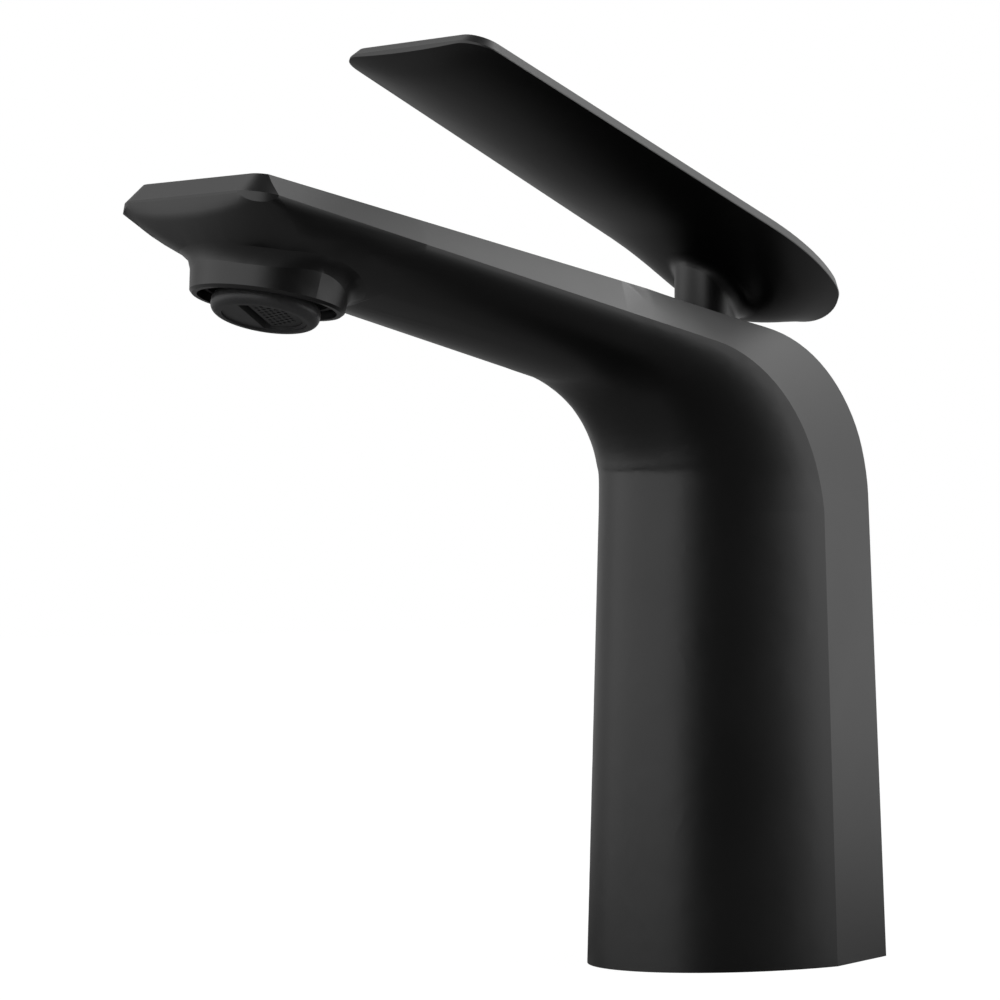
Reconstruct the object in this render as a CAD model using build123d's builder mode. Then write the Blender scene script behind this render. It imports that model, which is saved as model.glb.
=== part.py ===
"""Single-lever basin mixer: a cast body with a cartridge, a swivel outlet and a flat paddle lever.

Millimetres, +Z up.  The origin is on the deck plane, on the axis of the cartridge.  The spout
points to -Y and the whole mixer is symmetric about X = 0.
"""
from build123d import *

import os
from math import atan2, cos, hypot, pi, radians, sin, sqrt, tan

os.makedirs("parts", exist_ok=True)

# ---------------------------------------------------------------- driving dimensions
# Column, measured at the deck.  It is an ellipse in front, with two bevels and a flat back.
BASE_HALF_WIDTH = 24.9
BASE_NOSE = 25.2            # front of the column ahead of the axis
BASE_CREASE = 11.9          # where the ellipse ends and the bevel begins, behind the axis
BASE_BACK = 33.4            # flat back behind the axis
BASE_BACK_HALF_WIDTH = 17.4
COLUMN_TAPER = 0.00109      # share of each base size lost per millimetre of height

# Spout: three lines in side view (flat top, crease, belly) that rise at their own angles.
TIP_REACH = 128.4           # lower front edge of the tip, ahead of the axis
TIP_HEIGHT = 144.6          # height of that edge
TIP_BEVEL = 3.4             # bevel round the tip, in plan
TIP_BEVEL_RISE = 3.2        # the same bevel, in height
TIP_CORNER = 7.0            # plan radius of the tip's corners
TOP_RISE = 10.4             # degrees
CREASE_RISE = 11.9
BELLY_RISE = 13.1
BELLY_HEIGHT = 130.5        # belly at the outlet axis
SPOUT_HALF_WIDTH = 21.9
SPOUT_TOP_HALF_WIDTH = 18.5
NOSE_LENGTH = 17.0          # rounded-up underside between the outlet and the tip
OUTER_BEND = 34.5
CREASE_BEND = 37.0
INNER_BEND = 19.5
BEND_STATIONS = 12
BEND_LEADS = (6, 4, 2)      # straight stations before and after the bend, from its ends
NOSE_LEADS = (22, 18, 14, 10, 6, 3)     # straight stations ahead of the rounded nose
NOSE_TURNS = (0, 15, 30, 45, 60, 75, 87)    # degrees round the nose's quarter ellipse

# Block that trims the tip.
TRIM_LENGTH = 14.0
TRIM_RISE = 5.2             # clears the flat top
TRIM_DROP = 22.0            # clears the belly
TRIM_SIDE_ROOM = 0.4        # keeps the block's sides off the body's own bevels
TRIM_ROOM = 10.0            # how far the cleared zone passes the block

# Outlet boss and swivel aerator, on one axis that leans with the spout.  Heights are from the
# boss's rim, into the spout.
OUTLET_REACH = 109.6
OUTLET_LEAN = 11.0          # degrees, foot of the axis leaning forward
BOSS_RIM_HEIGHT = 126.0     # rim of the boss on the outlet axis, above the deck
BOSS_RIM_RADIUS = 14.2
BOSS_ROOT_RADIUS = 15.5
BOSS_DEPTH = 11.0
BOSS_RIM_CHAMFER = 0.5
BOSS_FILLET = 3.5           # where the boss meets the belly
BOSS_MOUTH_RADIUS = 12.8
AERATOR_BORE_RADIUS = 11.6  # M24x1 female thread
AERATOR_BORE_DEPTH = 11.7
CHAMBER_RADIUS = 8.5
CHAMBER_DEPTH = 14.2
FLANGE_RADIUS = 12.0        # flange of the aerator housing, inside the boss's mouth
FLANGE_INNER_RADIUS = 11.1
FLANGE_SUNK = 1.4
FLANGE_TOP = 3.6
HOUSING_FLOOR = 3.3
HOUSING_TOP = 10.5
NOZZLE_PIVOT = 6.7          # centre of the nozzle's ball
NOZZLE_BALL_RADIUS = 8.6
NOZZLE_BALL_TOP = 9.5
NOZZLE_NECK_RADIUS = 6.6
NOZZLE_HEAD_RADIUS = 10.0
NOZZLE_HEAD_TOP = 0.8
NOZZLE_FACE = -3.0
NOZZLE_HEAD_ROUND = 1.6
NOZZLE_BORE_RADIUS = 7.8
NOZZLE_SHELF = 0.4
NOZZLE_THROAT_RADIUS = 5.0
NOZZLE_LEAN_FORWARD = 4.3   # degrees, as the ball joint was left
NOZZLE_LEAN_SIDE = 4.9
NOZZLE_SPIN = 29.0
SEAL_RING_HEIGHT = 1.3      # ball seal, just above the ball's centre
SEAL_RING_WIDTH = 1.3
SEAL_RING_RISE = 0.6
INSERT_SUNK = 0.35
WINDOW_RADIUS = 7.0
CRESCENT_EDGE = -2.6        # straight edge of the insert's solid crescent, from the axis
SLOT_WIDTH = 1.5            # open slot between the crescent and the screen
SCREEN_SUNK = 0.4
SCREEN_THICKNESS = 0.5
SCREEN_FRAME = 0.7
SCREEN_HOLE_RADIUS = 0.42
SCREEN_PITCH = 1.35

# Cartridge seat and bore, from the bottom up.
SEAT_HEIGHT = 64.0
CARTRIDGE_RADIUS = 12.5
THREAD_RADIUS = 13.5        # M28x1 female thread for the retaining nut
THREAD_FOOT = 93.0
OPENING_RADIUS = 14.4       # opening in the top of the body
OPENING_FOOT = 101.5

# Cartridge, stacked on the seat.
INLET_SPACING = 14.0
INLET_OFFSET = 4.0          # behind the axis
INLET_RADIUS = 2.4
SEAL_RADIUS = 3.4
SEAL_HEIGHT = 2.7
SEAL_POCKET = 1.5
INLET_BOSS_RADIUS = 4.2
BASE_FOOT = 3.5             # underside of the cartridge base above the seat
BASE_THICKNESS = 4.5
MIXED_OFFSET = 5.0          # mixed-water port ahead of the axis
MIXED_RADIUS = 2.8
DOWEL_RADIUS = 1.4
DOWEL_SPACING = 10.0
DOWEL_OFFSET = 8.6
DOWEL_LENGTH = 2.5
DISC_RADIUS = 10.3
FIXED_DISC_THICKNESS = 4.0
MOVING_DISC_RADIUS = 7.2
MOVING_DISC_THICKNESS = 3.5
MOVING_DISC_OFFSET = 2.6    # behind the axis when closed
DISC_PORT_RADIUS = 2.0
MIXING_POCKET_LENGTH = 7.0
MIXING_POCKET_WIDTH = 4.0
MIXING_POCKET_SHIFT = 3.0   # ahead of the moving disc's centre
COUPLER_THICKNESS = 3.0
COUPLER_POST_HALF_WIDTH = 2.6
PRONG_INNER = 1.6
PRONG_OUTER = 3.1
PRONG_RISE = 1.5            # prongs above the drive tip
PRONG_DROP = 1.7
HOUSING_BORE_RADIUS = 10.6
ORING_HEIGHT = 1.8
ORING_DEPTH = 1.05
CARRIER_FLANGE = 3.5
TURRET_RADIUS = 9.0
TURRET_RISE = 5.0           # above the lever pin
CARRIER_SLOT_HALF_WIDTH = 3.15
CARRIER_SLOT_BACK = 6.2
HOUSING_CAP_TOP = 95.0
STOP_INNER_RADIUS = 9.8
STOP_OUTER_RADIUS = 11.0
LUG_RADIUS = 10.7
STOP_HEIGHT = 2.5
TURN_LIMIT = 45.0           # degrees each way
LUG_HALF_ANGLE = 9.0
LUG_SLACK = 2.0
NUT_HEIGHT = 6.0
NUT_LIP_RADIUS = 9.6
NUT_LIP = 3.0
NUT_KEYWAYS = 4
NUT_KEYWAY_WIDTH = 3.0
NUT_KEYWAY_DEPTH = 1.6
PIVOT_HEIGHT = 109.0        # lever pin
LEVER_ARM = 12.5            # lever pin to the drive tip
DRIVE_TIP_RADIUS = 1.35
DRIVE_TIP_SIDE_GAP = 0.4    # each side, inside the coupler's prongs
DRIVE_ARM_HALF_WIDTH = 0.9
DRIVE_ARM_LENGTH = 3.0      # parallel part above the drive tip
SHANK_DROP = 4.5            # foot of the square shank below the lever pin
PIN_RADIUS = 1.5
PIN_HALF_LENGTH = 8.6

# Hollow base, ports and fixing.
CAVITY_HEIGHT = 46.0
CAVITY_WALL = 4.5
PORT_RADIUS = 4.5           # M10x1 female thread
PORT_DEPTH = 11.0
STUD_OFFSET = 10.0          # ahead of the axis
STUD_RADIUS = 3.4           # M8 female thread
STUD_DEPTH = 13.0
WATERWAY_RADIUS = 2.7
WATERWAY_OFFSET = 19.0
WATERWAY_BEND = 14.0
SPOUT_BORE_RADIUS = 4.5
SPOUT_BORE_START = 42.0     # ahead of the axis
SPOUT_BORE_HEIGHT = 138.0   # centre at the outlet axis
GASKET_WIDTH = 2.0
GASKET_HEIGHT = 1.8
GASKET_INSET = 1.4

# Lever: a paddle plate with a bevelled edge and a convex underside, on a round neck.  Travels
# along the plate are from its tip.
PLATE_TIP_REACH = 76.3
PLATE_RISE = 21.7           # plate's top above the neck's foot, on the axis
PLATE_SLOPE = 23.0          # degrees
PLATE_LENGTH = 114.5
PLATE_TIP_HALF_WIDTH = 20.1
PLATE_HALF_WIDTH = 22.6
PLATE_WIDEST = 79.0
PLATE_TAIL_POINT = 9.9      # how far the tail's two arcs would meet beyond its rounded end
PLATE_TAIL_ROUND = 18.7
PLATE_CORNER = 6.0
PLATE_EDGE = 2.0            # height of the bevelled edge
PLATE_BEVEL = 1.1           # its run
PLATE_TIP_BELLY = 2.6
PLATE_BELLY = 4.3
HULL_DEPTH = 5.8            # how much deeper the underside is behind the neck
HULL_CENTRE = 97.0
HULL_REACH = 23.5           # the deeper part fades out over this travel each way
PLATE_NOSE = 9.0            # underside rounded up to the tip over this travel
PLATE_NOSE_SHARE = 0.3      # share of its depth left at the very tip
EDGE_LAND = 0.2             # upright land under the bevel
NECK_RADIUS = 6.1
NECK_FOOT = 122.4
NECK_FILLET = 3.5           # where the neck meets the underside
SPIGOT_RADIUS = 5.0
SPIGOT_LENGTH = 3.0
SPINDLE_SIDE = 6.0
SPINDLE_RISE = 7.6          # spindle's top above the neck's foot
SCREW_RISE = 2.1            # set screw above the neck's foot
SCREW_RADIUS = 1.5
PLUG_RADIUS = 1.9
PLUG_THICKNESS = 0.8
DOME_RADIUS = 14.0
DOME_WALL = 1.0

PLATE_OVERRUN = 1.0         # lofted past the plate's edges, where the outline trims it off
PLATE_STATIONS = (-1, 0.5, 3, 6, 9, 20, 40, 60, 75, 85, 95)
TAIL_STATIONS = (15, 9, 4, 0, -1.8)     # ahead of the rounded end

# Named clearances.
RUNNING_GAP = 0.05          # shafts, seals and stacked rings in their bores
BALL_GAP = 0.1              # nozzle ball in its socket
LOOSE_GAP = 0.3             # parts that only pass each other

# Construction, not shape.
OVERCUT = 1.0               # how far a cutter passes the face it opens
RUN_ON = 20.0               # side-view lines past the tip
STATION_REACH = 150.0       # length of a station line

# ---------------------------------------------------------------- side view
def column_scale(z):
    """Share of its size at the deck that the column keeps at a height."""
    return 1.0 - COLUMN_TAPER * z


def rising(reach, height, degrees):
    """A spout line in side view: its height at any y."""
    return lambda y: height - tan(radians(degrees)) * (y + reach)


def column_meets(base_y, line):
    """The corner where a column line (base_y at the deck) meets a spout line."""
    y = base_y
    for _ in range(40):
        y = base_y * column_scale(line(y))
    return (0, y, line(y))


tip_inner_reach = TIP_REACH - TIP_BEVEL
top_line = rising(tip_inner_reach, TIP_HEIGHT + TIP_BEVEL_RISE, TOP_RISE)
crease_line = rising(TIP_REACH, TIP_HEIGHT, CREASE_RISE)
belly_line = rising(OUTLET_REACH, BELLY_HEIGHT, BELLY_RISE)
end_y = -TIP_REACH - RUN_ON

top_profile = FilletPolyline(
    (0, BASE_BACK, 0), column_meets(BASE_BACK, top_line), (0, end_y, top_line(end_y)),
    radius=OUTER_BEND,
)
crease_profile = FilletPolyline(
    (0, BASE_CREASE, 0), column_meets(BASE_CREASE, crease_line), (0, end_y, crease_line(end_y)),
    radius=CREASE_BEND,
)
belly_profile = FilletPolyline(
    (0, -BASE_NOSE, 0), column_meets(-BASE_NOSE, belly_line), (0, end_y, belly_line(end_y)),
    radius=INNER_BEND,
)
bend_centre = belly_profile.edges()[1].arc_center


# ---------------------------------------------------------------- body: lofted from sections
def crossing(profile, start, degrees):
    """Where a station line that leaves start at an angle above +Y crosses a side-view profile."""
    way = Vector(0, cos(radians(degrees)), sin(radians(degrees)))
    return Vector(Wire(profile.edges()).intersect(Edge.make_line(start, start + way * STATION_REACH))[0])


def section(start, degrees, half_width, back_half_width, belly_share=1.0):
    """One closed section of the body: belly half-ellipse, two bevels and the flat top or back."""
    crease = crossing(crease_profile, start, degrees)
    depth = (crease - crossing(belly_profile, start, degrees)).length * belly_share
    rise = (crossing(top_profile, start, degrees) - crease).length
    normal = (0, -sin(radians(degrees)), cos(radians(degrees)))
    with BuildSketch(Plane(crease, x_dir=(1, 0, 0), z_dir=normal)) as outline:
        with BuildLine():
            EllipticalCenterArc((0, 0), half_width, depth, 180, arc_size=180)
            Polyline(
                (half_width, 0), (back_half_width, rise), (-back_half_width, rise), (-half_width, 0)
            )
        make_face()
    return outline.sketch


FULL_TURN = 90 - BELLY_RISE
spout_way = Vector(0, -cos(radians(BELLY_RISE)), sin(radians(BELLY_RISE)))
tip_edge = Vector(0, -TIP_REACH, TIP_HEIGHT)
nose_start = (tip_edge - bend_centre).dot(spout_way) - NOSE_LENGTH


def column_section(height):
    """A level section of the column."""
    scale = column_scale(height)
    start = Vector(0, bend_centre.Y, height)
    return section(start, 0, BASE_HALF_WIDTH * scale, BASE_BACK_HALF_WIDTH * scale)


def bend_section(share):
    """A section that has turned by a share of the way from the column to the spout."""
    scale = column_scale(bend_centre.Z)
    half_width = BASE_HALF_WIDTH * scale * (1 - share) + SPOUT_HALF_WIDTH * share
    back = BASE_BACK_HALF_WIDTH * scale * (1 - share**2) + SPOUT_TOP_HALF_WIDTH * share**2
    return section(bend_centre, FULL_TURN * share, half_width, back)


def spout_section(travel, belly_share=1.0):
    """A section square to the belly line, at a travel from the end of the bend."""
    start = bend_centre + spout_way * travel
    return section(start, FULL_TURN, SPOUT_HALF_WIDTH, SPOUT_TOP_HALF_WIDTH, belly_share)


def nose_section(degrees):
    """A section of the nose, where the belly rises to the tip in a quarter ellipse."""
    turn = radians(degrees)
    return spout_section(nose_start + NOSE_LENGTH * sin(turn), cos(turn))


with BuildPart() as body_blank:
    loft(sections=[column_section(0), column_section(bend_centre.Z - BEND_LEADS[0])], ruled=True)
    loft(
        sections=[column_section(bend_centre.Z - lead) for lead in BEND_LEADS]
        + [bend_section(n / BEND_STATIONS) for n in range(BEND_STATIONS + 1)]
        + [spout_section(lead) for lead in reversed(BEND_LEADS)]
    )
    loft(
        sections=[spout_section(BEND_LEADS[0]), spout_section(nose_start - NOSE_LEADS[0])],
        ruled=True,
    )
    loft(
        sections=[spout_section(nose_start - lead) for lead in NOSE_LEADS]
        + [nose_section(degrees) for degrees in NOSE_TURNS]
    )


# ---------------------------------------------------------------- body: tip, boss, bores
# A block laid in the plane of the crease rounds the tip's corners and bevels its front edge.
crease_lean = radians(CREASE_RISE)
crease_plane = Plane(tip_edge, x_dir=(1, 0, 0), z_dir=(0, sin(crease_lean), cos(crease_lean)))
bevel_run = TIP_BEVEL * cos(crease_lean) - TIP_BEVEL_RISE * sin(crease_lean)
bevel_height = TIP_BEVEL * sin(crease_lean) + TIP_BEVEL_RISE * cos(crease_lean)


def tip_outline(height):
    """Plan of the tip at a height over the crease plane, with its two front corners rounded."""
    inset = max(height, 0) * bevel_run / bevel_height
    half_width = SPOUT_HALF_WIDTH + TRIM_SIDE_ROOM - inset
    corners = [
        (-half_width, TRIM_LENGTH), (-half_width, inset), (half_width, inset), (half_width, TRIM_LENGTH)
    ]
    with BuildSketch(crease_plane.offset(height)) as outline:
        with BuildLine():
            FilletPolyline(*corners, radius=TIP_CORNER - inset)
            Line(corners[3], corners[0])
        make_face()
    return outline.sketch


with BuildPart() as tip_trim:
    loft(sections=[tip_outline(0), tip_outline(TRIM_RISE)], ruled=True)
    loft(sections=[tip_outline(-TRIM_DROP), tip_outline(0)], ruled=True)

with BuildPart() as tip_zone:
    with BuildSketch(crease_plane.offset(-TRIM_DROP)):
        with Locations((0, (TRIM_LENGTH - TRIM_ROOM) / 2)):
            Rectangle(2 * (SPOUT_HALF_WIDTH + TRIM_ROOM), TRIM_LENGTH + TRIM_ROOM)
    extrude(amount=TRIM_DROP + TRIM_RISE)

# Everything about the outlet is drawn on the outlet axis, +Z of this plane pointing into the boss.
outlet_lean = radians(OUTLET_LEAN)
outlet_plane = Plane(
    (0, -OUTLET_REACH, BOSS_RIM_HEIGHT), x_dir=(1, 0, 0), z_dir=(0, sin(outlet_lean), cos(outlet_lean))
)


def about(plane, *points, rounding=0.0):
    """Revolve a half-profile, given as (radius, height) points, about a plane's Z axis."""
    side = Plane(plane.origin, x_dir=plane.x_dir, z_dir=-plane.y_dir)
    with BuildPart() as turned:
        with BuildSketch(side):
            with BuildLine():
                if rounding:
                    FilletPolyline(*points, radius=rounding)
                    Line(points[-1], points[0])
                else:
                    Polyline(*points, close=True)
            make_face()
        revolve(axis=Axis(plane.origin, plane.z_dir))
    return turned.part


# ---------------------------------------------------------------- body: hollow base and bores
def hollow_outline(inset):
    """The column's outline at the deck, drawn in by an inset; its corners follow their bisectors."""
    bevel_turn = atan2(BASE_HALF_WIDTH - BASE_BACK_HALF_WIDTH, BASE_BACK - BASE_CREASE)
    half_width = BASE_HALF_WIDTH - inset
    crease = BASE_CREASE - inset * tan(bevel_turn / 2)
    back = BASE_BACK - inset
    back_half_width = BASE_BACK_HALF_WIDTH - inset * tan((pi / 2 - bevel_turn) / 2)
    with BuildSketch() as outline:
        with BuildLine():
            EllipticalCenterArc((0, crease), half_width, BASE_NOSE + crease - inset, 180, arc_size=180)
            Polyline(
                (half_width, crease), (back_half_width, back),
                (-back_half_width, back), (-half_width, crease),
            )
        make_face()
    return outline.sketch


def drill(radius, foot, top, x=0.0, y=0.0):
    """A vertical cutter between two heights."""
    with BuildPart() as cutter:
        with BuildSketch(Plane.XY.offset(foot)):
            with Locations((x, y)):
                Circle(radius)
        extrude(amount=top - foot)
    return cutter.part


def spout_bore_line(y):
    """Height of the water bore's centre line inside the spout."""
    return SPOUT_BORE_HEIGHT - tan(crease_lean) * (y + OUTLET_REACH)


with BuildPart() as base_hollow:
    with BuildSketch():
        add(hollow_outline(CAVITY_WALL))
    extrude(amount=CAVITY_HEIGHT, taper=1)

with BuildPart() as gasket_groove:
    with BuildSketch():
        add(hollow_outline(GASKET_INSET))
        add(hollow_outline(GASKET_INSET + GASKET_WIDTH), mode=Mode.SUBTRACT)
    extrude(amount=GASKET_HEIGHT)

with BuildPart() as waterway:
    entry = SEAT_HEIGHT + WATERWAY_RADIUS + LOOSE_GAP
    with BuildLine() as route:
        FilletPolyline(
            (0, -CARTRIDGE_RADIUS + 2 * WATERWAY_RADIUS, entry),
            (0, -WATERWAY_OFFSET, entry),
            (0, -WATERWAY_OFFSET, spout_bore_line(-WATERWAY_OFFSET)),
            (0, -OUTLET_REACH, spout_bore_line(-OUTLET_REACH)),
            radius=[WATERWAY_RADIUS + 1, WATERWAY_BEND],
        )
    with BuildSketch(Plane(route.line @ 0, z_dir=route.line % 0)):
        Circle(WATERWAY_RADIUS)
    sweep(path=route.line)
    bore_start = (0, -SPOUT_BORE_START, spout_bore_line(-SPOUT_BORE_START))
    with BuildSketch(Plane(bore_start, z_dir=(0, -cos(crease_lean), sin(crease_lean)))):
        Circle(SPOUT_BORE_RADIUS)
    extrude(amount=(OUTLET_REACH - SPOUT_BORE_START) / cos(crease_lean))

bore_steps = [
    (CARTRIDGE_RADIUS + RUNNING_GAP, SEAT_HEIGHT),
    (THREAD_RADIUS, THREAD_FOOT),
    (OPENING_RADIUS, OPENING_FOOT),
]
inlets = [(side * INLET_SPACING / 2, INLET_OFFSET) for side in (-1, 1)]
dowels = [(side * DOWEL_SPACING / 2, -DOWEL_OFFSET) for side in (-1, 1)]
port_foot = CAVITY_HEIGHT - OVERCUT
port_top = CAVITY_HEIGHT + PORT_DEPTH
seat_cut = SEAT_HEIGHT + OVERCUT
ALONG_EDGE = (0, 0.25, 0.5, 0.75, 1)    # where an edge is looked at


def boss_root(edge):
    """Whether an edge is the one where the boss meets the belly."""
    spots = [outlet_plane.to_local_coords(edge @ share) for share in ALONG_EDGE]
    reach = [hypot(spot.X, spot.Y) for spot in spots]
    rise = [spot.Z for spot in spots]
    on_wall = min(reach) > BOSS_RIM_RADIUS - RUNNING_GAP and max(reach) < BOSS_ROOT_RADIUS + RUNNING_GAP
    return on_wall and min(rise) > 2 * BOSS_RIM_CHAMFER and max(rise) < BOSS_DEPTH - RUNNING_GAP


with BuildPart() as body_casting:
    add(body_blank.part - (tip_zone.part - tip_trim.part))
    add(
        about(
            outlet_plane,
            (0, 0),
            (BOSS_RIM_RADIUS - BOSS_RIM_CHAMFER, 0),
            (BOSS_RIM_RADIUS, BOSS_RIM_CHAMFER),
            (BOSS_ROOT_RADIUS, BOSS_DEPTH),
            (0, BOSS_DEPTH),
        )
    )
    fillet(body_casting.edges().filter_by(boss_root), BOSS_FILLET)
    add(base_hollow.part, mode=Mode.SUBTRACT)
    add(gasket_groove.part, mode=Mode.SUBTRACT)
    for radius, foot in bore_steps:
        add(drill(radius, foot, top_line(-OPENING_RADIUS) + OVERCUT), mode=Mode.SUBTRACT)
    add(waterway.part, mode=Mode.SUBTRACT)
    add(
        about(
            outlet_plane,
            (0, -OVERCUT),
            (BOSS_MOUTH_RADIUS, -OVERCUT),
            (BOSS_MOUTH_RADIUS, FLANGE_TOP),
            (AERATOR_BORE_RADIUS, FLANGE_TOP),
            (AERATOR_BORE_RADIUS, AERATOR_BORE_DEPTH),
            (CHAMBER_RADIUS, AERATOR_BORE_DEPTH),
            (CHAMBER_RADIUS, CHAMBER_DEPTH),
            (0, CHAMBER_DEPTH),
        ),
        mode=Mode.SUBTRACT,
    )
    for x, y in inlets:
        add(drill(PORT_RADIUS, port_foot, port_top, x, y), mode=Mode.SUBTRACT)
        add(drill(INLET_RADIUS, port_top - OVERCUT, seat_cut, x, y), mode=Mode.SUBTRACT)
    for x, y in dowels:
        dowel_foot = SEAT_HEIGHT - DOWEL_LENGTH - LOOSE_GAP
        add(drill(DOWEL_RADIUS + RUNNING_GAP, dowel_foot, seat_cut, x, y), mode=Mode.SUBTRACT)
    add(drill(STUD_RADIUS, port_foot, CAVITY_HEIGHT + STUD_DEPTH, 0, -STUD_OFFSET), mode=Mode.SUBTRACT)

with BuildPart() as base_gasket:
    add(gasket_groove.part)

# ---------------------------------------------------------------- outlet: swivel aerator
socket_centre = outlet_plane.from_local_coords((0, 0, NOZZLE_PIVOT))
socket_radius = NOZZLE_BALL_RADIUS + BALL_GAP
seal_foot = NOZZLE_PIVOT + SEAL_RING_RISE
seal_top = seal_foot + SEAL_RING_HEIGHT
seal_outer = socket_radius + SEAL_RING_WIDTH

# The nozzle's own plane: its axis leans in the socket, and its origin is where the axis would
# meet the boss's rim if it stood straight.
nozzle_axis = (
    outlet_plane.z_dir
    - outlet_plane.x_dir * tan(radians(NOZZLE_LEAN_SIDE))
    + outlet_plane.y_dir * tan(radians(NOZZLE_LEAN_FORWARD))
).normalized()
spin = radians(NOZZLE_SPIN)
nozzle_across = nozzle_axis.cross(outlet_plane.x_dir * cos(spin) + outlet_plane.y_dir * sin(spin))
nozzle_plane = Plane(
    socket_centre - nozzle_axis * NOZZLE_PIVOT, x_dir=nozzle_across.cross(nozzle_axis), z_dir=nozzle_axis
)

with BuildPart() as aerator_housing:
    add(
        about(
            outlet_plane,
            (0, HOUSING_FLOOR),
            (FLANGE_INNER_RADIUS, HOUSING_FLOOR),
            (FLANGE_INNER_RADIUS, FLANGE_SUNK),
            (FLANGE_RADIUS, FLANGE_SUNK),
            (FLANGE_RADIUS, FLANGE_TOP),
            (AERATOR_BORE_RADIUS - RUNNING_GAP, FLANGE_TOP),
            (AERATOR_BORE_RADIUS - RUNNING_GAP, HOUSING_TOP),
            (0, HOUSING_TOP),
        )
    )
    # socket and seal groove, turned in one profile
    with BuildSketch(Plane(outlet_plane.origin, x_dir=outlet_plane.x_dir, z_dir=-outlet_plane.y_dir)):
        with BuildLine():
            bowl = CenterArc((0, NOZZLE_PIVOT), socket_radius, -90, 90)
            Polyline(
                bowl @ 1,
                (socket_radius, seal_foot),
                (seal_outer, seal_foot),
                (seal_outer, seal_top),
                (socket_radius, seal_top),
                (socket_radius, HOUSING_TOP + OVERCUT),
                (0, HOUSING_TOP + OVERCUT),
                bowl @ 0,
            )
        make_face()
    revolve(axis=Axis(outlet_plane.origin, outlet_plane.z_dir), mode=Mode.SUBTRACT)

with BuildPart() as ball_seal:
    with BuildSketch(outlet_plane.offset(seal_foot)):
        Circle(seal_outer)
        Circle(NOZZLE_BALL_RADIUS + RUNNING_GAP, mode=Mode.SUBTRACT)
    extrude(amount=SEAL_RING_HEIGHT)

with BuildPart() as aerator_washer:
    with BuildSketch(outlet_plane.offset(HOUSING_TOP)):
        Circle(AERATOR_BORE_RADIUS - RUNNING_GAP)
        Circle(CHAMBER_RADIUS, mode=Mode.SUBTRACT)
    extrude(amount=AERATOR_BORE_DEPTH - HOUSING_TOP)

with BuildPart() as swivel_nozzle:
    with Locations(socket_centre):
        Sphere(NOZZLE_BALL_RADIUS)
    # the ball's top and foot, cut flat by rings that pass it
    ball_foot = NOZZLE_HEAD_TOP + NOZZLE_HEAD_ROUND
    wide = 2 * NOZZLE_BALL_RADIUS
    for flat, past in ((NOZZLE_BALL_TOP, NOZZLE_BALL_TOP + wide), (ball_foot, ball_foot - wide)):
        add(about(nozzle_plane, (0, flat), (wide, flat), (wide, past), (0, past)), mode=Mode.SUBTRACT)
    with BuildSketch(nozzle_plane):
        Circle(NOZZLE_NECK_RADIUS)
    extrude(amount=NOZZLE_PIVOT)
    add(
        about(
            nozzle_plane,
            (0, NOZZLE_FACE),
            (NOZZLE_HEAD_RADIUS, NOZZLE_FACE),
            (NOZZLE_HEAD_RADIUS, NOZZLE_HEAD_TOP),
            (0, NOZZLE_HEAD_TOP),
            rounding=NOZZLE_HEAD_ROUND,
        )
    )
    with BuildSketch(nozzle_plane.offset(NOZZLE_SHELF)):
        Circle(NOZZLE_BORE_RADIUS)
    extrude(amount=NOZZLE_FACE - NOZZLE_SHELF, mode=Mode.SUBTRACT)
    with BuildSketch(nozzle_plane):
        Circle(NOZZLE_THROAT_RADIUS)
    extrude(amount=NOZZLE_BALL_TOP, mode=Mode.SUBTRACT)

insert_face = NOZZLE_FACE + INSERT_SUNK
screen_face = insert_face + SCREEN_SUNK


def window(radius, edge):
    """The part of a circle that lies beyond a straight edge parallel to Y."""
    with BuildSketch() as opening:
        Circle(radius)
        with Locations((edge - radius, 0)):
            Rectangle(2 * radius, 2 * radius, mode=Mode.SUBTRACT)
    return opening.sketch


with BuildPart() as aerator_insert:
    with BuildSketch(nozzle_plane.offset(insert_face)):
        Circle(NOZZLE_BORE_RADIUS - RUNNING_GAP)
        add(window(WINDOW_RADIUS, CRESCENT_EDGE), mode=Mode.SUBTRACT)
    extrude(amount=NOZZLE_SHELF - insert_face)

screen_radius = WINDOW_RADIUS - RUNNING_GAP
screen_edge = CRESCENT_EDGE + SLOT_WIDTH
row_rise = SCREEN_PITCH * sin(radians(60))
first_row = screen_edge + SCREEN_FRAME + SCREEN_HOLE_RADIUS
hole_reach = screen_radius - SCREEN_FRAME - SCREEN_HOLE_RADIUS
rows = int(2 * WINDOW_RADIUS / row_rise)
half_row = int(WINDOW_RADIUS / SCREEN_PITCH) + 1
screen_holes = [
    (first_row + row * row_rise, (column + row % 2 / 2) * SCREEN_PITCH)
    for row in range(rows)
    for column in range(-half_row, half_row)
]

with BuildPart() as aerator_screen:
    with BuildSketch(nozzle_plane.offset(screen_face)):
        add(window(screen_radius, screen_edge))
        with Locations([hole for hole in screen_holes if hypot(*hole) < hole_reach]):
            RegularPolygon(SCREEN_HOLE_RADIUS, 6, mode=Mode.SUBTRACT)
    extrude(amount=SCREEN_THICKNESS)

# ---------------------------------------------------------------- cartridge
def tube(outer, inner, foot, top):
    """A level ring between two heights."""
    with BuildPart() as ring:
        with BuildSketch(Plane.XY.offset(foot)):
            Circle(outer)
            Circle(inner, mode=Mode.SUBTRACT)
        extrude(amount=top - foot)
    return ring.part


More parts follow.
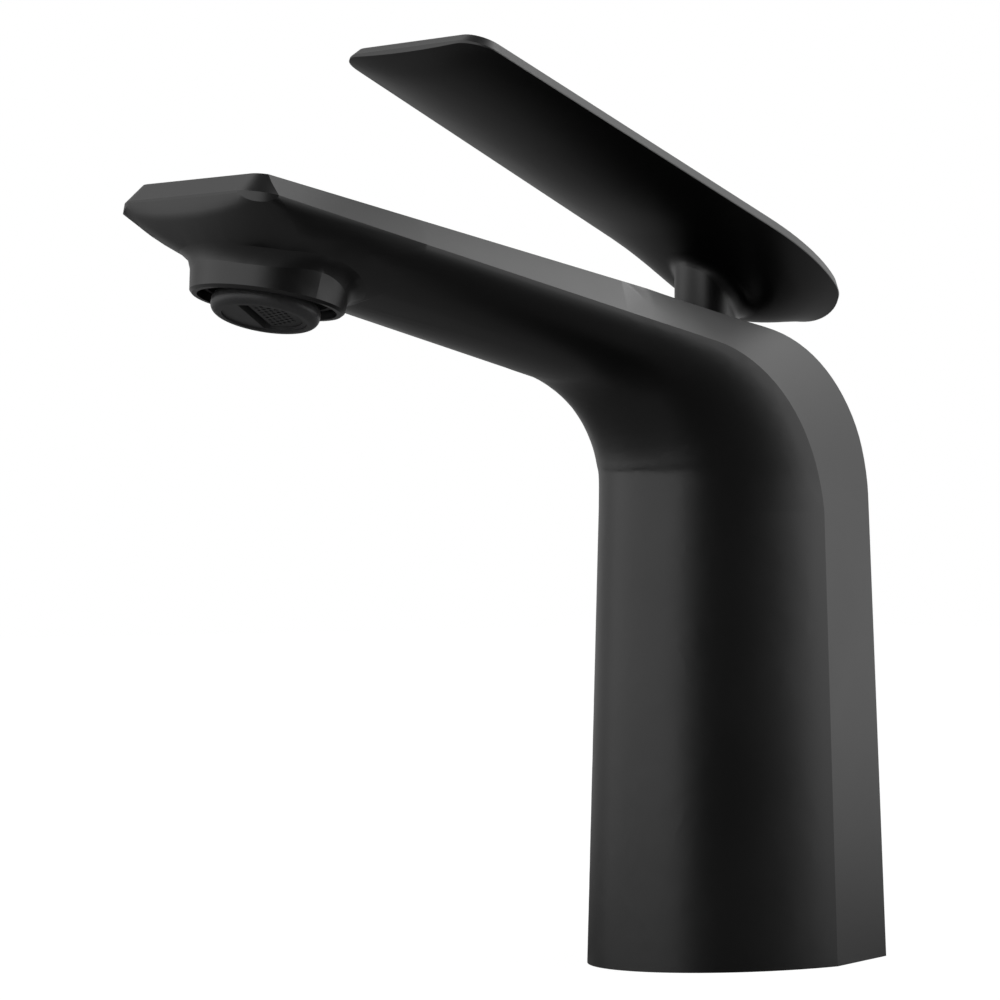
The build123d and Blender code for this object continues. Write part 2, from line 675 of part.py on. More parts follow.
plate_foot = SEAT_HEIGHT + BASE_FOOT
disc_foot = plate_foot + BASE_THICKNESS
moving_foot = disc_foot + FIXED_DISC_THICKNESS
coupler_foot = moving_foot + MOVING_DISC_THICKNESS
coupler_top = coupler_foot + COUPLER_THICKNESS
flange_foot = coupler_top + LOOSE_GAP
flange_top = flange_foot + CARRIER_FLANGE
tip_height = PIVOT_HEIGHT - LEVER_ARM
nut_top = HOUSING_CAP_TOP + NUT_HEIGHT
turret_top = PIVOT_HEIGHT + TURRET_RISE
stop_gap = TURN_LIMIT + LUG_HALF_ANGLE + LUG_SLACK

with BuildPart() as cartridge_base:
    with BuildSketch(Plane.XY.offset(plate_foot)):
        Circle(CARTRIDGE_RADIUS)
    extrude(amount=BASE_THICKNESS)
    with BuildSketch(Plane.XY.offset(SEAT_HEIGHT + SEAL_HEIGHT - SEAL_POCKET)):
        with Locations(*inlets):
            Circle(INLET_BOSS_RADIUS)
    extrude(until=Until.NEXT)
    with BuildSketch(Plane.XY.offset(SEAT_HEIGHT - DOWEL_LENGTH)):
        with Locations(*dowels):
            Circle(DOWEL_RADIUS)
    extrude(amount=BASE_FOOT + DOWEL_LENGTH)
    with BuildSketch(Plane.XY.offset(SEAT_HEIGHT)):
        with Locations(*inlets):
            Circle(SEAL_RADIUS + RUNNING_GAP)
    extrude(amount=SEAL_HEIGHT, mode=Mode.SUBTRACT)
    with BuildSketch(Plane.XY.offset(SEAT_HEIGHT)):
        with Locations(*inlets):
            Circle(INLET_RADIUS)
        with Locations((0, -MIXED_OFFSET)):
            Circle(MIXED_RADIUS)
    extrude(amount=disc_foot - SEAT_HEIGHT, mode=Mode.SUBTRACT)

with BuildPart() as inlet_seals:
    with BuildSketch(Plane.XY.offset(SEAT_HEIGHT)):
        with Locations(*inlets):
            Circle(SEAL_RADIUS)
            Circle(INLET_RADIUS, mode=Mode.SUBTRACT)
    extrude(amount=SEAL_HEIGHT)

with BuildPart() as fixed_disc:
    with BuildSketch(Plane.XY.offset(disc_foot)):
        Circle(DISC_RADIUS)
        with Locations(*inlets):
            Circle(DISC_PORT_RADIUS, mode=Mode.SUBTRACT)
        with Locations((0, -MIXED_OFFSET)):
            Circle(MIXED_RADIUS, mode=Mode.SUBTRACT)
    extrude(amount=FIXED_DISC_THICKNESS)

with BuildPart() as moving_disc:
    with BuildSketch(Plane.XY.offset(moving_foot)):
        with Locations((0, MOVING_DISC_OFFSET)):
            Circle(MOVING_DISC_RADIUS)
    extrude(amount=MOVING_DISC_THICKNESS)
    # mixing pocket on the underside
    with BuildSketch(Plane.XY.offset(moving_foot)):
        with Locations((0, MOVING_DISC_OFFSET - MIXING_POCKET_SHIFT)):
            SlotOverall(MIXING_POCKET_LENGTH, MIXING_POCKET_WIDTH)
    extrude(amount=MOVING_DISC_THICKNESS / 2, mode=Mode.SUBTRACT)

with BuildPart() as disc_coupler:
    with BuildSketch(Plane.XY.offset(coupler_foot)):
        with Locations((0, MOVING_DISC_OFFSET)):
            Circle(MOVING_DISC_RADIUS)
    extrude(amount=COUPLER_THICKNESS)
    with BuildSketch(Plane.XY.offset(coupler_top)):
        Rectangle(2 * COUPLER_POST_HALF_WIDTH, 2 * PRONG_OUTER)
    extrude(amount=tip_height + PRONG_RISE - coupler_top)
    with BuildSketch(Plane.XY.offset(tip_height - PRONG_DROP)):
        Rectangle(2 * COUPLER_POST_HALF_WIDTH, 2 * PRONG_INNER)
    extrude(amount=PRONG_RISE + PRONG_DROP, mode=Mode.SUBTRACT)

with BuildPart() as cartridge_housing:
    add(tube(CARTRIDGE_RADIUS, HOUSING_BORE_RADIUS, disc_foot, flange_top + RUNNING_GAP))
    add(tube(CARTRIDGE_RADIUS, TURRET_RADIUS + RUNNING_GAP, flange_top + RUNNING_GAP, HOUSING_CAP_TOP))
    groove = tube(
        CARTRIDGE_RADIUS + OVERCUT, CARTRIDGE_RADIUS - ORING_DEPTH - RUNNING_GAP,
        moving_foot, moving_foot + ORING_HEIGHT,
    )
    add(groove, mode=Mode.SUBTRACT)
    # end stops for the limit ring: an upstanding arc, open to the front
    with BuildSketch(Plane.XY.offset(HOUSING_CAP_TOP)):
        Circle(STOP_OUTER_RADIUS)
        Circle(STOP_INNER_RADIUS, mode=Mode.SUBTRACT)
        with BuildLine():
            far = 2 * STOP_OUTER_RADIUS
            reach = (far * sin(radians(stop_gap)), -far * cos(radians(stop_gap)))
            Polyline((0, 0), reach, (0, -far), (-reach[0], reach[1]), close=True)
        make_face(mode=Mode.SUBTRACT)
    extrude(amount=STOP_HEIGHT)

with BuildPart() as cartridge_o_ring:
    add(
        tube(
            CARTRIDGE_RADIUS + RUNNING_GAP / 2, CARTRIDGE_RADIUS - ORING_DEPTH,
            moving_foot + RUNNING_GAP, moving_foot + ORING_HEIGHT - RUNNING_GAP,
        )
    )

with BuildPart() as limit_ring:
    with BuildSketch(Plane.XY.offset(HOUSING_CAP_TOP + RUNNING_GAP)):
        Circle(STOP_INNER_RADIUS - 2 * RUNNING_GAP)
        with BuildLine():
            half = LUG_RADIUS * tan(radians(LUG_HALF_ANGLE))
            Polyline((-half, 0), (half, 0), (half, -LUG_RADIUS), (-half, -LUG_RADIUS), close=True)
        make_face()
        Circle(TURRET_RADIUS, mode=Mode.SUBTRACT)
    extrude(amount=STOP_HEIGHT - RUNNING_GAP)

with BuildPart() as retaining_nut:
    nut_bore = STOP_OUTER_RADIUS + 3 * RUNNING_GAP
    add(tube(THREAD_RADIUS - RUNNING_GAP, nut_bore, HOUSING_CAP_TOP, nut_top - NUT_LIP))
    add(tube(THREAD_RADIUS - RUNNING_GAP, NUT_LIP_RADIUS, nut_top - NUT_LIP, nut_top))
    with BuildSketch(Plane.XY.offset(nut_top - NUT_KEYWAY_DEPTH)):
        with PolarLocations(THREAD_RADIUS, NUT_KEYWAYS, start_angle=45):
            Rectangle(NUT_KEYWAY_WIDTH, NUT_KEYWAY_WIDTH)
    extrude(amount=NUT_KEYWAY_DEPTH + OVERCUT, mode=Mode.SUBTRACT)

with BuildPart() as lever_carrier:
    with BuildSketch(Plane.XY.offset(flange_foot)):
        Circle(HOUSING_BORE_RADIUS - RUNNING_GAP)
    extrude(amount=CARRIER_FLANGE)
    with BuildSketch(Plane.XY.offset(flange_top)):
        Circle(TURRET_RADIUS)
    extrude(amount=turret_top - flange_top)
    slot_front = HOUSING_BORE_RADIUS + OVERCUT
    with BuildSketch(Plane.XY.offset(flange_foot)):
        with Locations((0, (CARRIER_SLOT_BACK - slot_front) / 2)):
            Rectangle(2 * CARRIER_SLOT_HALF_WIDTH, CARRIER_SLOT_BACK + slot_front)
    extrude(amount=turret_top - flange_foot, mode=Mode.SUBTRACT)
    with BuildSketch(Plane.YZ.offset(-TURRET_RADIUS - OVERCUT)):
        with Locations((0, PIVOT_HEIGHT)):
            Circle(PIN_RADIUS)
    extrude(amount=2 * (TURRET_RADIUS + OVERCUT), mode=Mode.SUBTRACT)

with BuildPart() as lever_pin:
    with BuildSketch(Plane.YZ.offset(-PIN_HALF_LENGTH)):
        with Locations((0, PIVOT_HEIGHT)):
            Circle(PIN_RADIUS)
    extrude(amount=2 * PIN_HALF_LENGTH)

# ---------------------------------------------------------------- lever
half_side = SPINDLE_SIDE / 2
shank_foot = PIVOT_HEIGHT - SHANK_DROP
spindle_top = NECK_FOOT + SPINDLE_RISE
screw_height = NECK_FOOT + SCREW_RISE
arm_top = tip_height + DRIVE_ARM_LENGTH
drive_reach = COUPLER_POST_HALF_WIDTH - DRIVE_TIP_SIDE_GAP

with BuildPart() as lever_spindle:
    with BuildSketch(Plane.YZ.offset(-half_side)):
        with BuildLine():
            Polyline(
                (-half_side, spindle_top), (half_side, spindle_top), (half_side, shank_foot),
                (DRIVE_ARM_HALF_WIDTH, arm_top), (DRIVE_ARM_HALF_WIDTH, tip_height),
                (-DRIVE_ARM_HALF_WIDTH, tip_height), (-DRIVE_ARM_HALF_WIDTH, arm_top),
                (-half_side, shank_foot), close=True,
            )
        make_face()
        with Locations((0, PIVOT_HEIGHT)):
            Circle(PIN_RADIUS + RUNNING_GAP, mode=Mode.SUBTRACT)
    extrude(amount=SPINDLE_SIDE)
    with BuildSketch(Plane.YZ.offset(-drive_reach)):
        with Locations((0, tip_height)):
            Circle(DRIVE_TIP_RADIUS)
    extrude(amount=2 * drive_reach)

plate_lean = radians(PLATE_SLOPE)
# The tip's height is taken to a whole tenth of a millimetre.
plate_tip_height = round(NECK_FOOT + PLATE_RISE + tan(plate_lean) * PLATE_TIP_REACH, 1)
plate_plane = Plane(
    (0, -PLATE_TIP_REACH, plate_tip_height), x_dir=(1, 0, 0), z_dir=(0, sin(plate_lean), cos(plate_lean))
)
neck_top = plate_tip_height - tan(plate_lean) * (PLATE_TIP_REACH + NECK_RADIUS) - PLATE_EDGE / 2


def off_axis(corner):
    """Whether a corner lies off the plate's centre line."""
    return abs(corner.X) > RUNNING_GAP



with BuildLine() as plate_side:
    side = Line((PLATE_TIP_HALF_WIDTH, 0), (PLATE_HALF_WIDTH, PLATE_WIDEST))
    TangentArc(side @ 1, (0, PLATE_LENGTH + PLATE_TAIL_POINT), tangent=side % 1)

with BuildSketch() as plate_outline:
    with BuildLine():
        add(plate_side.line)
        Line(side @ 0, (0, 0))
        mirror(about=Plane.YZ)
    make_face()
    fillet(plate_outline.vertices().group_by(Axis.Y)[0].filter_by(off_axis), PLATE_CORNER)
    fillet(plate_outline.vertices().sort_by(Axis.Y)[-1], PLATE_TAIL_ROUND)


def plate_half_width(travel):
    """Half-width of the plate at a travel from the tip, before its tail is rounded."""
    height = max(travel, RUNNING_GAP)
    across = Edge.make_line((0, height, 0), (2 * PLATE_HALF_WIDTH, height, 0))
    return Vector(Wire(plate_side.edges()).intersect(across)[0]).X


def belly_depth(travel):
    """Depth of the underside below the plate's edge, on the centre line."""
    tip_share = PLATE_TIP_BELLY / PLATE_TIP_HALF_WIDTH
    along = min(max(travel, 0) / PLATE_WIDEST, 1)
    share = tip_share + (PLATE_BELLY / PLATE_HALF_WIDTH - tip_share) * along
    nose = min(max(travel, 0) / PLATE_NOSE, 1)
    rise = PLATE_NOSE_SHARE + (1 - PLATE_NOSE_SHARE) * sin(nose * pi / 2)
    away = min(abs(travel - HULL_CENTRE) / HULL_REACH, 1)
    return plate_half_width(travel) * share * rise + HULL_DEPTH * cos(away * pi / 2) ** 2


def plate_section(travel):
    """Everything above the underside's arc, which runs on a little past the plate's edges."""
    half_width = plate_half_width(travel)
    depth = belly_depth(travel)
    radius = (half_width**2 + depth**2) / (2 * depth)
    wide = half_width + PLATE_OVERRUN
    rim = radius - depth - sqrt(radius**2 - wide**2)
    origin = plate_plane.from_local_coords((0, travel, -PLATE_EDGE))
    with BuildSketch(Plane(origin, x_dir=(1, 0, 0), z_dir=-plate_plane.y_dir)) as outline:
        with BuildLine():
            ThreePointArc((-wide, rim), (0, -depth), (wide, rim))
            Polyline((wide, rim), (wide, 3 * PLATE_EDGE), (-wide, 3 * PLATE_EDGE), (-wide, rim))
        make_face()
    return outline.sketch


def neck_root(edge):
    """Whether an edge is the one where the neck meets the plate's underside."""
    spots = [edge @ share for share in ALONG_EDGE]
    reach = [hypot(spot.X, spot.Y) for spot in spots]
    on_wall = min(reach) > NECK_RADIUS - RUNNING_GAP and max(reach) < NECK_RADIUS + RUNNING_GAP
    return on_wall and min(spot.Z for spot in spots) > NECK_FOOT + OVERCUT


with BuildPart() as lever_blank:
    travels = list(PLATE_STATIONS) + [PLATE_LENGTH - travel for travel in TAIL_STATIONS]
    loft(sections=[plate_section(travel) for travel in travels])

with BuildPart() as handle:
    with BuildSketch(plate_plane):
        add(plate_outline.sketch)
    extrude(amount=-PLATE_EDGE - 2 * PLATE_BELLY - HULL_DEPTH)
    plate_top = handle.faces().sort_by(Axis(plate_plane.origin, plate_plane.z_dir))[-1]
    chamfer(plate_top.edges(), PLATE_EDGE - EDGE_LAND, PLATE_BEVEL)
    add(lever_blank.part, mode=Mode.INTERSECT)
    with BuildSketch(Plane.XY.offset(NECK_FOOT)):
        Circle(NECK_RADIUS)
    extrude(amount=neck_top - NECK_FOOT)
    fillet(handle.edges().filter_by(neck_root), NECK_FILLET)
    with BuildSketch(Plane.XY.offset(NECK_FOOT - SPIGOT_LENGTH)):
        Circle(SPIGOT_RADIUS)
    extrude(amount=SPIGOT_LENGTH)
    with BuildSketch(Plane.XY.offset(NECK_FOOT - SPIGOT_LENGTH)):
        Rectangle(SPINDLE_SIDE + 2 * RUNNING_GAP, SPINDLE_SIDE + 2 * RUNNING_GAP)
    extrude(amount=spindle_top + LOOSE_GAP - NECK_FOOT + SPIGOT_LENGTH, mode=Mode.SUBTRACT)
    with BuildSketch(Plane.XZ.offset(-half_side)):
        with Locations((0, screw_height)):
            Circle(SCREW_RADIUS)
    extrude(amount=-NECK_RADIUS, mode=Mode.SUBTRACT)
    plug_seat = NECK_RADIUS - PLUG_THICKNESS
    with BuildSketch(Plane.XZ.offset(-plug_seat)):
        with Locations((0, screw_height)):
            Circle(PLUG_RADIUS)
    extrude(amount=-NECK_RADIUS, mode=Mode.SUBTRACT)

with BuildPart() as handle_screw:
    with BuildSketch(Plane.XZ.offset(-half_side)):
        with Locations((0, screw_height)):
            Circle(SCREW_RADIUS)
    extrude(amount=-(plug_seat - half_side - RUNNING_GAP))
    with BuildSketch(Plane.XZ.offset(-plug_seat + RUNNING_GAP)):
        with Locations((0, screw_height)):
            RegularPolygon(SCREW_RADIUS / 2, 6)
    extrude(amount=SCREW_RADIUS / 2, mode=Mode.SUBTRACT)

with BuildPart() as screw_plug:
    with BuildSketch(Plane.XZ.offset(-plug_seat)):
        with Locations((0, screw_height)):
            Circle(PLUG_RADIUS)
    extrude(amount=-NECK_RADIUS)
    with BuildSketch(Plane.XY.offset(NECK_FOOT)):
        Circle(NECK_RADIUS)
    extrude(amount=neck_top - NECK_FOOT, mode=Mode.INTERSECT)

with BuildPart() as neck_dome:
    with Locations((0, 0, PIVOT_HEIGHT)):
        Sphere(DOME_RADIUS)
    with BuildSketch(Plane.XY.offset(PIVOT_HEIGHT)):
        Circle(NECK_RADIUS)
    extrude(amount=NECK_FOOT - PIVOT_HEIGHT)
    with BuildSketch(Plane.XY.offset(PIVOT_HEIGHT)):
        Circle(2 * DOME_RADIUS)
    extrude(amount=-2 * DOME_RADIUS, mode=Mode.SUBTRACT)
    with Locations((0, 0, PIVOT_HEIGHT)):
        Sphere(DOME_RADIUS - DOME_WALL, mode=Mode.SUBTRACT)
    with BuildSketch(Plane.XY.offset(PIVOT_HEIGHT)):
        Circle(SPIGOT_RADIUS + RUNNING_GAP)
    extrude(amount=2 * DOME_RADIUS, mode=Mode.SUBTRACT)

# ---------------------------------------------------------------- nodes
nodes = {
    "body_casting": body_casting,
    "base_gasket": base_gasket,
    "aerator_housing": aerator_housing,
    "ball_seal": ball_seal,
    "aerator_washer": aerator_washer,
    "swivel_nozzle": swivel_nozzle,
    "aerator_insert": aerator_insert,
    "aerator_screen": aerator_screen,
    "cartridge_base": cartridge_base,
    "inlet_seals": inlet_seals,
    "fixed_disc": fixed_disc,
    "moving_disc": moving_disc,
    "disc_coupler": disc_coupler,
    "cartridge_housing": cartridge_housing,
    "cartridge_o_ring": cartridge_o_ring,
    "limit_ring": limit_ring,
    "retaining_nut": retaining_nut,
    "lever_carrier": lever_carrier,
    "lever_pin": lever_pin,
    "lever_spindle": lever_spindle,
    "neck_dome": neck_dome,
    "handle": handle,
    "handle_screw": handle_screw,
    "screw_plug": screw_plug,
}
for name, node in nodes.items():
    node.part.label = name
    export_step(node.part, f"parts/{name}.step")
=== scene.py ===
"""Looks of the basin mixer: matt black lacquer outside, rubber, plastic, ceramic and brass inside."""

from math import cos, radians, sin

import bpy
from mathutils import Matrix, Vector


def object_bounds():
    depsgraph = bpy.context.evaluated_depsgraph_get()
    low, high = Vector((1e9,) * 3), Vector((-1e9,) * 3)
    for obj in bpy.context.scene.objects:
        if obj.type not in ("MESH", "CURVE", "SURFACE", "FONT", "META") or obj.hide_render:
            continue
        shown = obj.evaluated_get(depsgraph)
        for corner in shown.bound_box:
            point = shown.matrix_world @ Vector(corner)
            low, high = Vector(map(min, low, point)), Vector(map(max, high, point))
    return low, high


# ---------------------------------------------------------------- view and light, metres
CAMERA_PLACE = (0.59106, -0.56761, 0.08639)
CAMERA_TURN = 49.0          # degrees about the upright
LENS = 148.94
LENS_RISE = 0.0238          # share of the frame
STAGE_SIZE = 4.0

# The room: white all round. The glossy curves mirror its darker parts, each given as the way
# towards its middle, the cosines at which it begins and is full, and the light that is left there.
ROOM_LEVEL = 1.0
ROOM_DIFFUSE = 0.15
ROOM_PARTS = {
    "screen_at_right": dict(way=(0.990, -0.139, 0.0), edges=(0.66, 0.88), left=0.0),
    "dim_wall_at_left": dict(way=(-0.940, 0.342, 0.0), edges=(0.50, 0.88), left=0.42),
    "soft_wall_behind": dict(way=(0.105, 0.994, 0.0), edges=(0.80, 0.97), left=0.78),
    "dark_ceiling": dict(way=(0.0, 0.0, 1.0), edges=(0.80, 0.92), left=0.08),
}
FLOOR_COLOUR = 0.15
FLOOR_LIGHT = 0.985         # what the camera sees of the floor
# The floor's glow for glossy faces is a painted shadow near the mixer, and painted room light far off.
FLOOR_NEAR_SHADOW = 0.10           # what glossy faces see of it near the mixer; far off it is the room's
FLOOR_REACH = (0.05, 1.00)  # metres from the mixer's axis at which it is near and far

# Surfaces: the scale of each grain in cycles a metre, and the height of its relief in metres.
LACQUER_SHINE = 0.8
LACQUER_GRAIN, LACQUER_CLOUD, LACQUER_RELIEF = 2600.0, 45.0, 0.00002
# The lighter tops of the lacquer grain are a painted highlight.
LACQUER_PEAK_HIGHLIGHT = 1.35         # how much lighter the grain's tops are
MOULD_GRAIN, MOULD_RELIEF = 1800.0, 0.00002
# The darker hollows of the moulded grain are painted shade.
MOULD_HOLLOW_SHADE = 0.86
RUBBER_BLOOM, RUBBER_GRAIN, RUBBER_RELIEF = 420.0, 1500.0, 0.00003
RUBBER_DUST = 1.8
LATHE_RINGS, LATHE_CLOUD, LATHE_RELIEF = 5200.0, 90.0, 0.000015
LATHE_STRETCH = (0.02, 0.02, 1.0)   # the rings lie across the upright axis
LATHE_SHADE = 0.8
CERAMIC_MOTTLE = 700.0
CERAMIC_WARMTH = (1.0, 0.97, 0.9)
NOISE_MIDDLE = (0.3, 0.7)           # the part of a noise that a range of values is spread over
COLOUR_STOPS = (0.32, 0.68)         # where a noise has its dark and its light colour

# Lamps: where each stands as azimuth and elevation from the mixer's middle, and its size.
LAMPS = {
    "band_above_right": dict(azimuth=138.0, elevation=33.0, distance=1.2, size=(0.8, 0.8), watts=6.5),
}


def set_input(shader, name, value):
    shader.inputs[name].default_value = value


def new_material(name, colour, roughness, metallic=0.0, specular=0.5):
    """A material with one Principled shader, and the tools to grow nodes on it."""
    material = bpy.data.materials.new(name)
    material.use_nodes = True
    shader = material.node_tree.nodes["Principled BSDF"]
    set_input(shader, "Base Color", (*colour, 1.0))
    set_input(shader, "Roughness", roughness)
    set_input(shader, "Metallic", metallic)
    set_input(shader, "Specular IOR Level", specular)
    return material, material.node_tree, shader


def node_math(tree, operation, first, second):
    """A maths node; its second value is a socket or a number."""
    node = tree.nodes.new("ShaderNodeMath")
    node.operation = operation
    tree.links.new(first, node.inputs[0])
    if isinstance(second, float):
        node.inputs[1].default_value = second
    else:
        tree.links.new(second, node.inputs[1])
    return node.outputs[0]


def eased(tree, source, between, levels):
    """A value eased from one level to another between two bounds."""
    ramp = tree.nodes.new("ShaderNodeMapRange")
    ramp.interpolation_type = "SMOOTHSTEP"
    ramp.inputs["From Min"].default_value, ramp.inputs["From Max"].default_value = between
    ramp.inputs["To Min"].default_value, ramp.inputs["To Max"].default_value = levels
    tree.links.new(source, ramp.inputs["Value"])
    return ramp.outputs["Result"]


def noise(tree, scale, detail, stretch=(1.0, 1.0, 1.0)):
    """Noise in the row frame, so that its grain has a real size. Scale is in cycles a metre."""
    place = tree.nodes.new("ShaderNodeTexCoord")
    mapping = tree.nodes.new("ShaderNodeMapping")
    mapping.inputs["Scale"].default_value = stretch
    texture = tree.nodes.new("ShaderNodeTexNoise")
    texture.inputs["Scale"].default_value = scale
    texture.inputs["Detail"].default_value = detail
    tree.links.new(place.outputs["Object"], mapping.inputs["Vector"])
    tree.links.new(mapping.outputs["Vector"], texture.inputs["Vector"])
    return texture.outputs["Fac"]


def spread(tree, source, low, high):
    """Maps the middle of a noise to a range of values."""
    ramp = tree.nodes.new("ShaderNodeMapRange")
    ramp.inputs["From Min"].default_value, ramp.inputs["From Max"].default_value = NOISE_MIDDLE
    ramp.inputs["To Min"].default_value = low
    ramp.inputs["To Max"].default_value = high
    tree.links.new(source, ramp.inputs["Value"])
    return ramp.outputs["Result"]


def mix_colours(tree, source, dark, light):
    """A colour between two, by a noise."""
    ramp = tree.nodes.new("ShaderNodeValToRGB")
    for stop, position, colour in zip(ramp.color_ramp.elements, COLOUR_STOPS, (dark, light)):
        stop.position = position
        stop.color = (*colour, 1.0)
    tree.links.new(source, ramp.inputs["Fac"])
    return ramp.outputs["Color"]


def bump(tree, shader, source, height, strength):
    """Surface relief, its height in metres."""
    relief = tree.nodes.new("ShaderNodeBump")
    relief.inputs["Distance"].default_value = height
    relief.inputs["Strength"].default_value = strength
    tree.links.new(source, relief.inputs["Height"])
    tree.links.new(relief.outputs["Normal"], shader.inputs["Normal"])


def lacquer(name, colour, roughness):
    """Matt black lacquer over cast brass: a fine powdery grain over a faint orange peel, the grain's
    tops lighter as a painted highlight.
    """
    material, tree, shader = new_material(name, colour, roughness, specular=LACQUER_SHINE)
    grain = noise(tree, LACQUER_GRAIN, 3.0)
    cloud = noise(tree, LACQUER_CLOUD, 3.0)
    # Painted highlight: the grain's tops, which the bump raises, get the lighter colour.
    lighter = tuple(LACQUER_PEAK_HIGHLIGHT * c for c in colour)
    tree.links.new(mix_colours(tree, grain, colour, lighter), shader.inputs["Base Color"])
    tree.links.new(spread(tree, cloud, roughness - 0.02, roughness + 0.02), shader.inputs["Roughness"])
    bump(tree, shader, grain, LACQUER_RELIEF, 0.35)
    return material


def moulded(name, colour, roughness):
    """Moulded plastic with a faint spark-eroded grain, its hollows darker as painted shade."""
    material, tree, shader = new_material(name, colour, roughness)
    grain = noise(tree, MOULD_GRAIN, 2.0)
    # Painted shade: the grain's hollows, which the bump lowers, get the darker colour.
    darker = tuple(MOULD_HOLLOW_SHADE * c for c in colour)
    tree.links.new(mix_colours(tree, grain, darker, colour), shader.inputs["Base Color"])
    tree.links.new(spread(tree, grain, roughness - 0.05, roughness + 0.05), shader.inputs["Roughness"])
    bump(tree, shader, grain, MOULD_RELIEF, 0.4)
    return material


def rubber(name, colour):
    """Soft seal rubber: dull, with a dusty bloom."""
    material, tree, shader = new_material(name, colour, 0.7, specular=0.35)
    bloom = noise(tree, RUBBER_BLOOM, 4.0)
    dusty = tuple(RUBBER_DUST * c for c in colour)
    tree.links.new(mix_colours(tree, bloom, colour, dusty), shader.inputs["Base Color"])
    tree.links.new(spread(tree, bloom, 0.62, 0.8), shader.inputs["Roughness"])
    bump(tree, shader, noise(tree, RUBBER_GRAIN, 3.0), RUBBER_RELIEF, 0.5)
    return material


def turned_metal(name, colour, roughness):
    """Metal with the fine rings that a lathe leaves, across the upright axis."""
    material, tree, shader = new_material(name, colour, roughness, metallic=1.0)
    rings = noise(tree, LATHE_RINGS, 1.0, stretch=LATHE_STRETCH)
    cloud = noise(tree, LATHE_CLOUD, 3.0)
    dull = tuple(LATHE_SHADE * c for c in colour)
    tree.links.new(mix_colours(tree, cloud, dull, colour), shader.inputs["Base Color"])
    tree.links.new(spread(tree, rings, roughness - 0.08, roughness + 0.1), shader.inputs["Roughness"])
    bump(tree, shader, rings, LATHE_RELIEF, 0.5)
    return material


def ceramic(name, colour):
    """Lapped alumina: pale, dense and smooth, with a faint mottle."""
    material, tree, shader = new_material(name, colour, 0.22)
    mottle = noise(tree, CERAMIC_MOTTLE, 4.0)
    warmer = tuple(share * c for share, c in zip(CERAMIC_WARMTH, colour))
    tree.links.new(mix_colours(tree, mottle, warmer, colour), shader.inputs["Base Color"])
    tree.links.new(spread(tree, mottle, 0.17, 0.27), shader.inputs["Roughness"])
    return material


def finishes():
    """Each material slot's material."""
    return {
        "black_body": lacquer("matt_black_body", (0.003, 0.003, 0.0031), 0.36),
        "black_handle": lacquer("matt_black_handle", (0.003, 0.003, 0.0031), 0.36),
        "black_trim": lacquer("matt_black_trim", (0.003, 0.003, 0.0031), 0.36),
        "rubber_black": rubber("seal_rubber", (0.012, 0.012, 0.012)),
        "cartridge_plastic": moulded("cartridge_white", (0.66, 0.67, 0.68), 0.45),
        "cartridge_plastic_dark": moulded("cartridge_grey", (0.13, 0.14, 0.15), 0.42),
        "limit_ring_plastic": moulded("limit_ring_red", (0.42, 0.035, 0.03), 0.4),
        "ceramic": ceramic("disc_ceramic", (0.78, 0.77, 0.73)),
        "brass_nut": turned_metal("turned_brass", (0.72, 0.5, 0.2), 0.34),
        "steel": turned_metal("stainless_steel", (0.55, 0.56, 0.58), 0.3),
        "outlet_plastic": moulded("outlet_housing", (0.030, 0.030, 0.031), 0.4),
        "nozzle_plastic": moulded("outlet_nozzle", (0.20, 0.20, 0.205), 0.38),
        "screen_plastic": moulded("outlet_screen", (0.15, 0.15, 0.153), 0.45),
    }


def dress_nodes(frame, materials):
    """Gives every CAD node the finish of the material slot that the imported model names."""
    for node in frame["nodes"].values():
        slot = node.data.materials[0].name
        node.data.materials.clear()
        node.data.materials.append(materials[slot])


def room_light(tree, way):
    """The light that a direction of the room has for glossy faces."""
    light = None
    for part in ROOM_PARTS.values():
        towards = tree.nodes.new("ShaderNodeVectorMath")
        towards.operation = "DOT_PRODUCT"
        towards.inputs[1].default_value = part["way"]
        tree.links.new(way, towards.inputs[0])
        share = eased(tree, towards.outputs["Value"], part["edges"], (1.0, part["left"]))
        light = node_math(tree, "MULTIPLY", share, ROOM_LEVEL if light is None else light)
    return light


